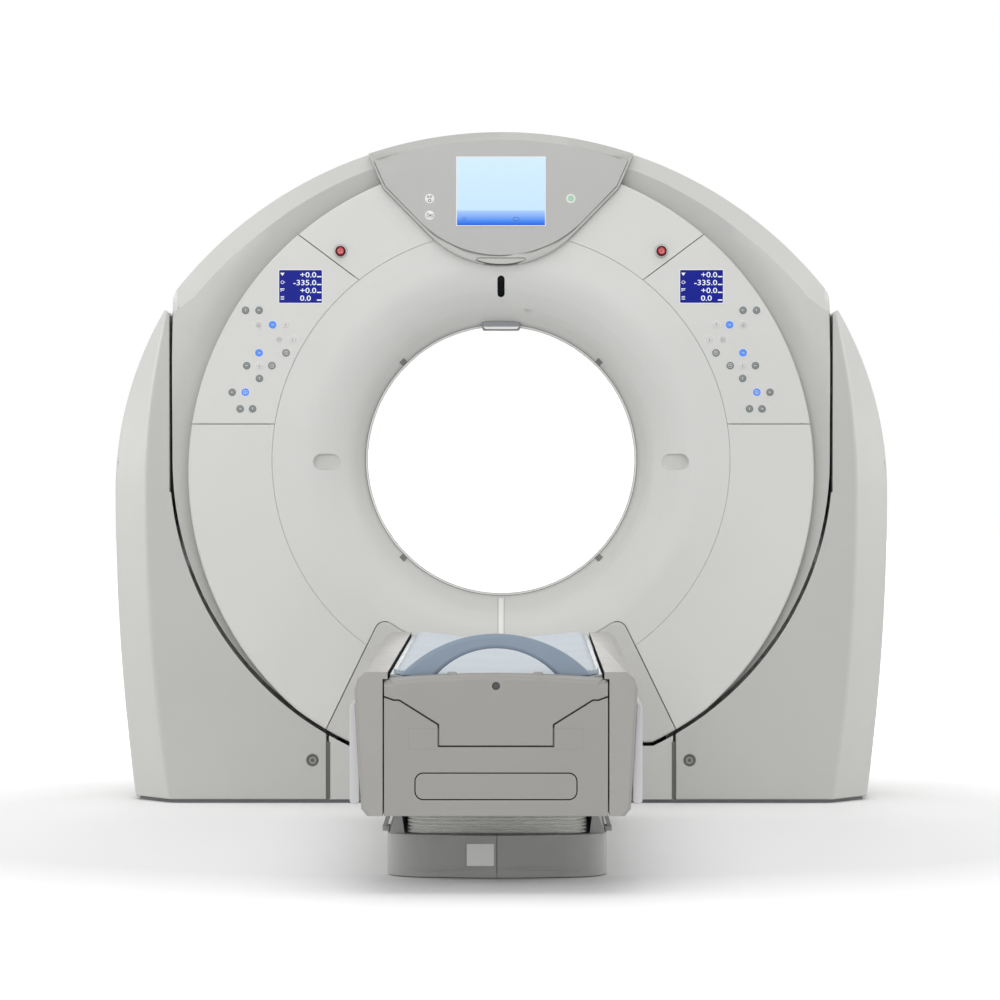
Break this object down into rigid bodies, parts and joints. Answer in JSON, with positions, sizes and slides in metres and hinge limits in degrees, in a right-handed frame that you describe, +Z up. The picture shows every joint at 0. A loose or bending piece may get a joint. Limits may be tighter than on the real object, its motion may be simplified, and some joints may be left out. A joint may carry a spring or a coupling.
{
  "type": "computed tomography scanner with patient couch",
  "caption": "Hospital CT scanner: ring-shaped tilting gantry with a round patient tunnel between two side stands, and a lifting patient couch with a sliding dished tabletop in front.",
  "frame": {"origin": "on the floor, straight below the isocentre of the patient tunnel", "axes": "+Z up, +Y along the tunnel from the couch to the gantry's back, +X to the right as seen from the couch's near end"},
  "size_m": [2.26, 3.66, 1.943],
  "materials": {
    "cover": "satin",
    "console": "satin",
    "screen": "gloss",
    "display": "gloss",
    "key_light": "gloss",
    "stop_red": "gloss",
    "dark_window": "gloss",
    "cup_grey": "matte",
    "tunnel_window": "satin",
    "frame_steel": "matte",
    "bearing_steel": "satin",
    "motor_dark": "satin",
    "frame_aluminium": "satin",
    "tube_steel": "satin",
    "column_steel": "satin",
    "couch_cover": "satin",
    "bumper": "matte",
    "base_cover_grey": "matte",
    "bellows_rubber": "matte",
    "tabletop_shell": "satin",
    "mat_fabric": "matte",
    "handle_grey": "satin"
  },
  "bodies": {
    "stand": {"base_frame": "frame_steel", "stand_pillar_left": "frame_steel", "stand_pillar_right": "frame_steel", "tilt_bearings": "bearing_steel", "tilt_gearmotor": "motor_dark", "side_cover_left_front": "cover", "side_cover_left_rear": "cover", "side_cover_right_front": "cover", "side_cover_right_rear": "cover", "base_covers": "cover", "cover_caps": "cup_grey", "couch_base_plate": "frame_steel", "couch_base_cover_left": "base_cover_grey", "couch_base_cover_right": "base_cover_grey", "base_guards": "base_cover_grey", "lift_column_base": "column_steel", "bellows": "bellows_rubber"},
    "housing": {"tilt_frame": "frame_aluminium", "outer_shroud": "cover", "front_cover": "cover", "front_funnel": "cover", "rear_cover": "cover", "rear_funnel": "cover", "lower_front_panel": "cover", "scan_window": "tunnel_window", "bore_clips": "cover", "bore_lamp": "dark_window", "laser_window": "dark_window", "console_housing": "console", "console_screen": "screen", "console_key": "key_light", "control_panel_left": "cover", "control_panel_right": "cover", "position_displays": "display", "keypads": "cover", "estop_collars": "dark_window", "grip_cups": "cover", "main_bearing": "bearing_steel"},
    "rotor": {"rotor_drum": "frame_aluminium", "xray_tube": "tube_steel", "collimator": "tube_steel", "detector_array": "frame_aluminium", "hv_generator": "frame_aluminium", "cooling_unit": "frame_aluminium", "slip_ring": "frame_aluminium", "counterweights": "tube_steel"},
    "estop_left": {"estop_button_left": "stop_red"},
    "estop_right": {"estop_button_right": "stop_red"},
    "lift_middle": {"lift_column_middle": "column_steel"},
    "couch_body": {"couch_frame": "frame_steel", "couch_side_cover_left": "couch_cover", "couch_side_cover_right": "couch_cover", "bumper_strips": "bumper", "end_lid": "couch_cover", "end_cover": "couch_cover", "far_end_cover": "couch_cover"},
    "table": {"tabletop": "tabletop_shell", "tabletop_carriage": "frame_steel", "table_mat": "mat_fabric", "arch_handle": "handle_grey"}
  },
  "joints": [
    {"name": "gantry_tilt", "type": "hinge", "parent": "stand", "child": "housing", "pos_m": [0, 0, 0.993], "axis": [1, 0, 0], "range_deg": [-30, 30]},
    {"name": "rotor_spin", "type": "hinge", "parent": "housing", "child": "rotor", "pos_m": [0, 0, 0.993], "axis": [0, 1, 0], "continuous": true},
    {"name": "estop_left_press", "type": "slide", "parent": "housing", "child": "estop_left", "axis": [0, 1, 0], "range_m": [0, 0.004], "stiffness_N_per_m": 6000, "springref_m": -0.001},
    {"name": "estop_right_press", "type": "slide", "parent": "housing", "child": "estop_right", "axis": [0, 1, 0], "range_m": [0, 0.004], "stiffness_N_per_m": 6000, "springref_m": -0.001},
    {"name": "couch_lift", "type": "slide", "parent": "stand", "child": "couch_body", "axis": [0, 0, 1], "range_m": [0, 0.45], "deforming": ["bellows"]},
    {"name": "lift_middle_stage", "type": "slide", "parent": "stand", "child": "lift_middle", "axis": [0, 0, 1], "range_m": [0, 0.225]},
    {"name": "tabletop_slide", "type": "slide", "parent": "couch_body", "child": "table", "axis": [0, 1, 0], "range_m": [0, 0.42]}
  ],
  "couplings": [
    {"joint": "lift_middle_stage", "follows": "couch_lift", "ratio": 0.5}
  ]
}
